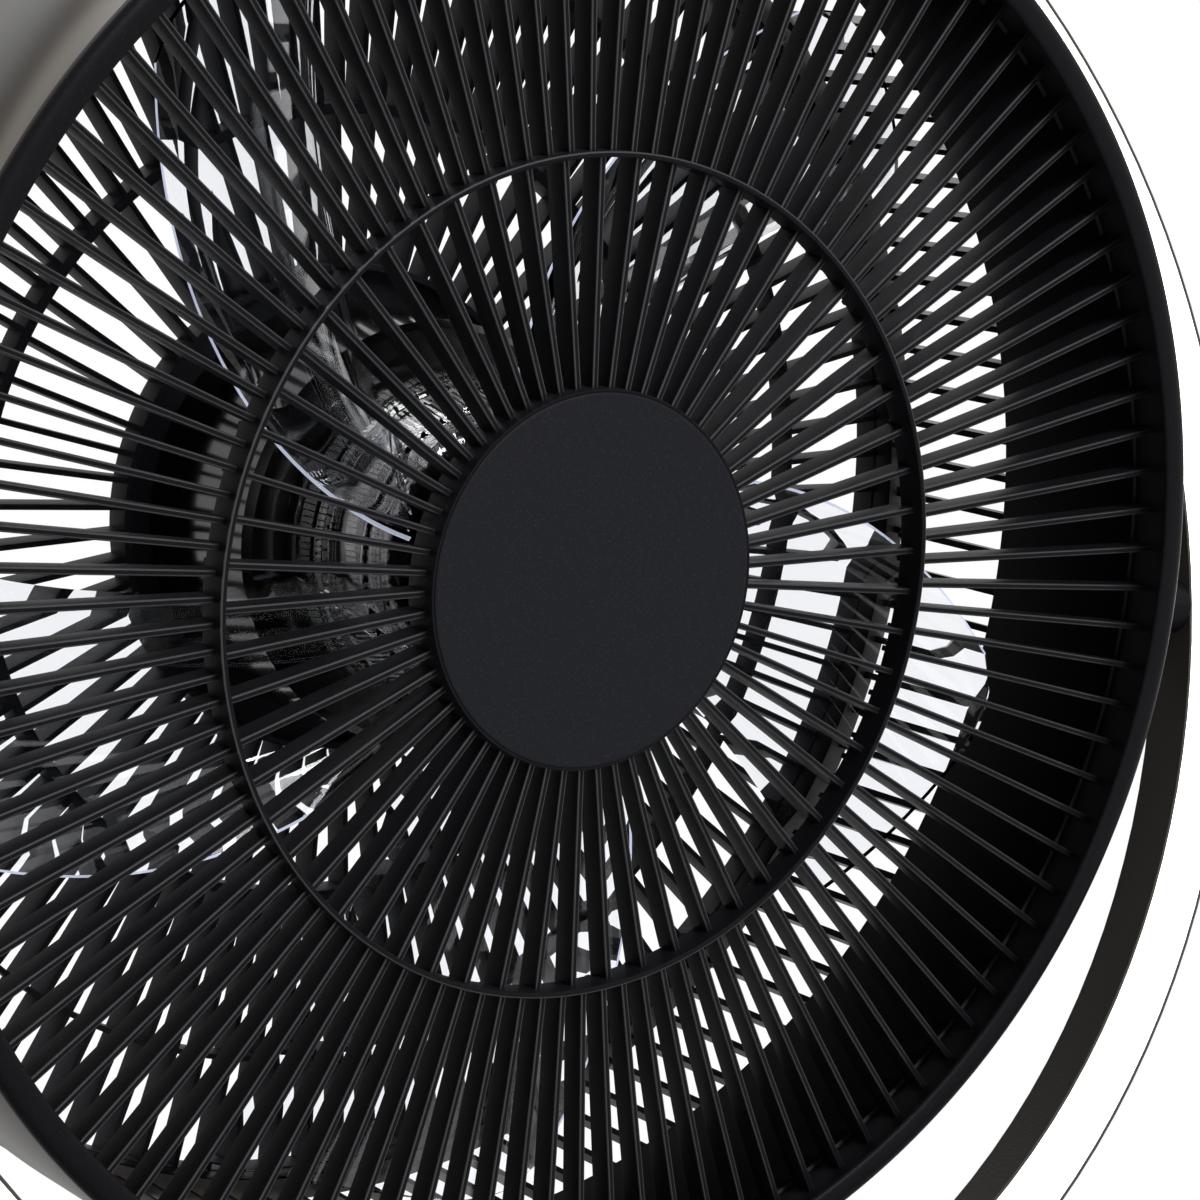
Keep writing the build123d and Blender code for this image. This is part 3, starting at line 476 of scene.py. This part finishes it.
def front_grille():
    grille = Mesh()
    grille.turned([
        (RIM_INNER, 1.1), (RIM_INNER + 0.15, 0.7), (RIM_INNER + 0.5, 0.4), (RIM_INNER + 1.4, 0.12),
        (196.0, 0.0), (197.4, 0.1), (198.6, 0.45), (199.4, 1.0), (199.85, 1.7), (HEAD_RADIUS, 2.4),
        (HEAD_RADIUS, RIM_EDGE), (SKIRT_OUTER, RIM_EDGE), (SKIRT_OUTER, GRILLE_BACK),
        (SKIRT_INNER, GRILLE_BACK), (SKIRT_INNER, 1.9), (RIM_INNER, 1.6),
    ], 360)
    rib = rounded([(-SPOKE_HALF_FRONT, SPOKE_FRONT), (SPOKE_HALF_FRONT, SPOKE_FRONT),
                   (SPOKE_HALF_BACK, GRILLE_BACK), (-SPOKE_HALF_BACK, GRILLE_BACK)], SPOKE_EASE)
    grille.ribs(rib, SPOKE_ROOT, MID_RING, INNER_SPOKES, INNER_TURN, FRONT_CORNERS)
    grille.ribs(rib, MID_RING, SPOKE_END, OUTER_SPOKES, OUTER_TURN, FRONT_CORNERS)
    ring = band(MID_RING - MID_RING_HALF, MID_RING + MID_RING_HALF, RING_FRONT, RING_BACK, SPOKE_EASE)
    grille.turned(ring, edges=OUTER_FRONT_CORNER)
    seat = CAP_RADIUS + CAP_GAP
    grille.turned(rounded([
        (seat, HUB_LIP), (HUB_OUTER, HUB_LIP), (HUB_OUTER, GRILLE_BACK), (HUB_INNER, GRILLE_BACK),
        (HUB_INNER, HUB_FLOOR), (0.0, HUB_FLOOR), (0.0, CAP_BACK + CAP_GAP), (seat, CAP_BACK + CAP_GAP),
    ], 0.2, 2), 180)
    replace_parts(grille.finish(
        "front_grille_moulding", "head", "satin_black_plastic", ("painted_highlight_edge",)), "front_grille")


def grille_cap():
    cap = Mesh()
    cap.turned([(0.0, CAP_BACK), (CAP_RADIUS, CAP_BACK), (CAP_RADIUS, 6.55), (CAP_RADIUS - 0.15, 6.2),
                (CAP_RADIUS - 0.5, 6.03), (CAP_RADIUS - 0.9, CAP_FRONT), (0.0, CAP_FRONT)], 180)
    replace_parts(cap.finish("grille_cap_disc", "head", "grey_black_plastic"), "grille_cap")


# Impeller: smooth swept blades and a stepped hub
BLADE_ROOT = 32.5
BLADE_TIP = 179.0
BLADE_FRONT = 42.0
BLADE_REAR = 81.0
BLADE_THICK = 2.0
BLADE_BOW = 0.07
BLADE_COUNT = 5
BLADE_SPANS = 30
BLADE_CHORDS = 18
EDGE_EASE = 0.25
TIP_CORNER = 10.0
FRONT_EDGE_ROOT, FRONT_EDGE_TIP = 248.0, 206.0
REAR_EDGE_ROOT, REAR_EDGE_TIP = 199.5, 182.2
HUB_FRONT, HUB_REAR = 49.0, 82.0
HUB_MIDDLE_FRONT, HUB_MIDDLE_REAR = 36.25, 43.75


def blade_point(radius, angle, depth):
    """Point at an angle in degrees, counted from the X axis towards the top of the head."""
    angle = math.radians(angle)
    return Vector((radius * math.cos(angle), -radius * math.sin(angle), depth))


def hub_radius(depth):
    """Middle of the hub's tapered wall at one depth."""
    spread = HUB_MIDDLE_REAR - HUB_MIDDLE_FRONT
    return HUB_MIDDLE_FRONT + spread * (depth - HUB_FRONT) / (HUB_REAR - HUB_FRONT)


def tip_radius(depth):
    """Outer end of a blade at one depth, with its corner eased at the front."""
    ahead = max(0.0, BLADE_FRONT + TIP_CORNER - depth) / TIP_CORNER
    return BLADE_TIP - TIP_CORNER * (1 - math.sqrt(max(0.0, 1 - ahead ** 2)))


def blade_surface(radius, chord, lift):
    """Point on a blade: radius, share of the chord from the front edge, and distance off its face."""
    share = (radius - BLADE_ROOT) / (BLADE_TIP + BLADE_THICK - BLADE_ROOT)
    front_angle = FRONT_EDGE_ROOT + (FRONT_EDGE_TIP - FRONT_EDGE_ROOT) * share
    rear_angle = REAR_EDGE_ROOT + (REAR_EDGE_TIP - REAR_EDGE_ROOT) * share
    start = blade_point(radius, front_angle, BLADE_FRONT)
    end = blade_point(radius, rear_angle, BLADE_REAR)
    outward = blade_point(1.0, (front_angle + rear_angle) / 2, 0.0)
    across = (end - start).cross(outward).normalized()
    bow = 4 * chord * (1 - chord) * BLADE_BOW * (end - start).length
    point = start + (end - start) * chord + across * (bow + lift)
    point.z = min(max(point.z, BLADE_FRONT), BLADE_REAR)
    return point


def add_blade(wheel, turn):
    """Add one blade, turned into its place, with its front edge marked."""
    loop = [(i / BLADE_CHORDS, 0.0) for i in range(BLADE_CHORDS + 1)]
    loop += [(i / BLADE_CHORDS, BLADE_THICK) for i in range(BLADE_CHORDS, -1, -1)]
    count = len(loop)
    points = []
    for i in range(BLADE_SPANS + 1):
        for chord, lift in loop:
            depth = BLADE_FRONT + (BLADE_REAR - BLADE_FRONT) * chord
            root = hub_radius(depth)
            radius = root + (tip_radius(depth) - root) * i / BLADE_SPANS
            ease = EDGE_EASE if chord in (0.0, 1.0) else 0.0
            points.append(tuple(turn @ blade_surface(radius, chord, abs(lift - ease))))
    faces = []
    for i in range(BLADE_SPANS):
        for j in range(count):
            k = (j + 1) % count
            faces.append((i * count + j, i * count + k, (i + 1) * count + k, (i + 1) * count + j))
    for j in range(BLADE_CHORDS):
        for base in (0, BLADE_SPANS * count):
            faces.append((base + j, base + j + 1, base + count - 2 - j, base + count - 1 - j))
    wheel.add(points, faces)
    # The front edge takes the bluish glowing copy: painted highlight
    for i in range(BLADE_SPANS):
        wheel.marks[-len(faces) + (i + 1) * count - 1] = 1


def impeller():
    wheel = Mesh()
    for blade in range(BLADE_COUNT):
        add_blade(wheel, Matrix.Rotation(2 * math.pi * blade / BLADE_COUNT, 4, "Z"))
    wheel.turned(rounded([
        (4.02, 40.0), (27.0, 40.0), (29.0, 41.5), (29.0, 47.0), (33.5, 47.6), (37.5, 49.6),
        (38.6, 54.0), (40.2, 54.4), (42.4, 68.0), (43.9, 68.4), (45.0, 82.0),
        (42.5, 82.0), (40.6, 69.8), (36.6, 55.2), (35.0, 51.5), (26.5, 51.5), (26.5, 42.5),
        (8.0, 42.5), (8.0, 82.0), (4.02, 82.0),
    ], 0.8, 2), 180)
    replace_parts(wheel.finish("clear_impeller", "impeller", "clear_plastic", ("blade_edge_painted_glint",)), "impeller")


def impeller_core():
    """Dark metal core seen through the clear hub."""
    core = Mesh()
    core.turned(rounded([
        (8.1, 54.0), (30.5, 54.0), (32.5, 56.0), (37.5, 80.5), (8.1, 80.5),
    ], 1.2), 180)
    core.finish("impeller_core", "impeller", "steel", look="dark_core")


# Drum and rear guard: the model's sizes, with eased edges, and a near-black copy of the drum's plastic on its
# inward faces as painted shade
DRUM_OUTER = 199.0
DRUM_INNER = 195.0
DRUM_FRONT = 4.3
REBATE_RADIUS = 197.7
REBATE_END = 17.4
SLOTS_FRONT = 72.4
SLOTS_BACK = 122.4
SLAT_COUNT = 108
SLAT_HALF = 1.0
SLAT_OVERLAP = 0.4
GUARD_LEDGE = 192.0
GUARD_FRONT = 130.0
GUARD_BACK = 139.0
GUARD_INNER_RIBS = 60
GUARD_INNER_TURN = 3.0
GUARD_RING = 112.0
RIB_TURN = 180 / SLAT_COUNT
DISH_OUTER = 69.0
DISH_INNER = 67.0
DISH_FLOOR = 136.0
DISH_BORE = 4.05
BOSS_RADIUS = 8.0
BOSS_START = 198.35
BOSS_END = 207.0
SCREW_CIRCLE = 57.0
SCREW_COUNT = 4


def drum():
    shell = Mesh()
    shell.turned(rounded([
        (REBATE_RADIUS, DRUM_FRONT), (DRUM_OUTER, DRUM_FRONT), (DRUM_OUTER, SLOTS_FRONT),
        (DRUM_INNER, SLOTS_FRONT), (DRUM_INNER, REBATE_END), (REBATE_RADIUS, REBATE_END),
    ], 0.25, 2), 360)
    shell.turned(rounded([
        (GUARD_LEDGE, SLOTS_BACK), (DRUM_OUTER, SLOTS_BACK), (DRUM_OUTER, GUARD_BACK),
        (DRUM_INNER, GUARD_BACK), (DRUM_INNER, GUARD_FRONT), (GUARD_LEDGE, GUARD_FRONT),
    ], 0.4, 2), 360)
    start = SLOTS_FRONT - SLAT_OVERLAP
    end = SLOTS_BACK + SLAT_OVERLAP
    slat = rounded([(-SLAT_HALF, start), (SLAT_HALF, start), (SLAT_HALF, end), (-SLAT_HALF, end)], 0.3, 2)
    shell.ribs(slat, DRUM_INNER + 0.5, DRUM_OUTER - 0.5, SLAT_COUNT, RIB_TURN)
    for side in (-1, 1):
        shell.rod_x(BOSS_RADIUS, side * BOSS_START, side * BOSS_END, TILT_AXIS_DEPTH / MM)
    thing = shell.finish("drum_shell", "head", "gloss_black_plastic", ("drum_inside_painted_shade",))
    # Faces that look inward take the near-black copy: painted shade inside the drum
    back = HEAD_PLACE.inverted()
    for face in thing.data.polygons:
        centre = back @ face.center
        normal = back.to_3x3() @ face.normal
        if centre.xy.dot(normal.xy) < -0.05:
            face.material_index = 1
    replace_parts(thing, "drum")


def rear_grille():
    guard = Mesh()
    rib = rounded([(-0.8, GUARD_FRONT), (0.8, GUARD_FRONT), (0.9, GUARD_BACK), (-0.9, GUARD_BACK)], 0.4)
    guard.ribs(rib, DISH_OUTER - 1.0, GUARD_RING, GUARD_INNER_RIBS, GUARD_INNER_TURN)
    guard.ribs(rib, GUARD_RING, 193.5, SLAT_COUNT, RIB_TURN)
    guard.turned(band(110.3, 113.3, 129.98, GUARD_BACK, 0.5))
    guard.turned(band(158.4, 160.0, 130.3, 138.9, 0.4))
    guard.turned(band(191.7, 194.9, GUARD_FRONT, GUARD_BACK, 0.4), 360)
    guard.turned(rounded([
        (DISH_BORE, DISH_FLOOR), (DISH_INNER, DISH_FLOOR), (DISH_INNER, GUARD_FRONT),
        (DISH_OUTER, GUARD_FRONT), (DISH_OUTER, GUARD_BACK), (DISH_BORE, GUARD_BACK),
    ], 0.4), 180)
    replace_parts(guard.finish("rear_guard_moulding", "head", "grey_black_plastic"), "rear_grille")


def dish_screws():
    """Four socket screws that hold the motor to the rear guard's dish."""
    screws = Mesh()
    head = band(1.3, 2.8, GUARD_BACK, GUARD_BACK + 2.0, 0.4, 2)
    for i in range(SCREW_COUNT):
        angle = math.radians(45 + 360 / SCREW_COUNT * i)
        across = SCREW_CIRCLE * math.cos(angle)
        down = SCREW_CIRCLE * math.sin(angle)
        base = len(screws.points)
        screws.turned(head, 32)
        screws.points[base:] = [(x + across, y + down, d) for x, y, d in screws.points[base:]]
    screws.finish("dish_screws", "head", "black_steel")


front_grille()
grille_cap()
dish_screws()
impeller()
impeller_core()
drum()
rear_grille()


# Camera

camera_data = bpy.data.cameras.new("camera")
camera = bpy.data.objects.new("camera", camera_data)
scene.collection.objects.link(camera)
camera.location = PIVOT + CAMERA_OFFSET
looking = Vector((
    math.sin(CAMERA_YAW) * math.cos(CAMERA_PITCH),
    math.cos(CAMERA_YAW) * math.cos(CAMERA_PITCH),
    math.sin(CAMERA_PITCH)))
camera.rotation_euler = looking.to_track_quat("-Z", "Y").to_euler()
camera_data.sensor_width = SENSOR
camera_data.lens = LENS
scene.camera = camera


# Floor and studio

def floor():
    """Plain pale floor that keeps the fan's shadow."""
    mesh = bpy.data.meshes.new("studio floor")
    half = FLOOR_SIDE / 2
    corners = [(-half, -half, 0), (half, -half, 0), (half, half, 0), (-half, half, 0)]
    mesh.from_pydata(corners, [], [(0, 1, 2, 3)])
    thing = bpy.data.objects.new("studio_floor", mesh)
    scene.collection.objects.link(thing)
    material, tree, shader = new_material("pale floor")
    shader.inputs["Base Color"].default_value = (0.80, 0.80, 0.79, 1.0)
    add_grain(tree, shader, 0.02, 0.00002, 0.6)
    mesh.materials.append(material)


def studio_world():
    """White backdrop for what the camera, gloss and clear plastic see, and even light for the rest."""
    world = bpy.data.worlds.new("studio")
    scene.world = world
    world.use_nodes = True
    tree = world.node_tree
    tree.nodes.clear()
    out = tree.nodes.new("ShaderNodeOutputWorld")
    seen = node(tree, "ShaderNodeBackground", Color=(1.0, 1.0, 1.0, 1.0), Strength=1.0)
    light = node(tree, "ShaderNodeBackground", Color=(1.0, 1.0, 1.0, 1.0), Strength=0.08)
    path = tree.nodes.new("ShaderNodeLightPath")
    either = node(tree, "ShaderNodeMath", operation="MAXIMUM")
    tree.links.new(path.outputs["Is Camera Ray"], either.inputs[0])
    tree.links.new(path.outputs["Is Transmission Ray"], either.inputs[1])
    any_of = node(tree, "ShaderNodeMath", operation="MAXIMUM")
    tree.links.new(either.outputs[0], any_of.inputs[0])
    tree.links.new(path.outputs["Is Glossy Ray"], any_of.inputs[1])
    mix = tree.nodes.new("ShaderNodeMixShader")
    tree.links.new(any_of.outputs[0], mix.inputs[0])
    tree.links.new(light.outputs[0], mix.inputs[1])
    tree.links.new(seen.outputs[0], mix.inputs[2])
    tree.links.new(mix.outputs[0], out.inputs["Surface"])


def sun(name, direction, strength, softness):
    """Even soft light from one direction, given as the way towards the light."""
    data = bpy.data.lights.new(name, "SUN")
    data.energy = strength
    data.angle = math.radians(softness)
    lamp = bpy.data.objects.new(name, data)
    scene.collection.objects.link(lamp)
    lamp.location = PIVOT + Vector(direction) * 2.0
    lamp.rotation_euler = Vector(direction).to_track_quat("Z", "Y").to_euler()


floor()
studio_world()
sun("front light", (0.12, -0.90, 0.42), 2.3, 24.0)
sun("top light", (-0.15, 0.45, 0.90), 1.1, 30.0)

scene.view_settings.view_transform = "Standard"
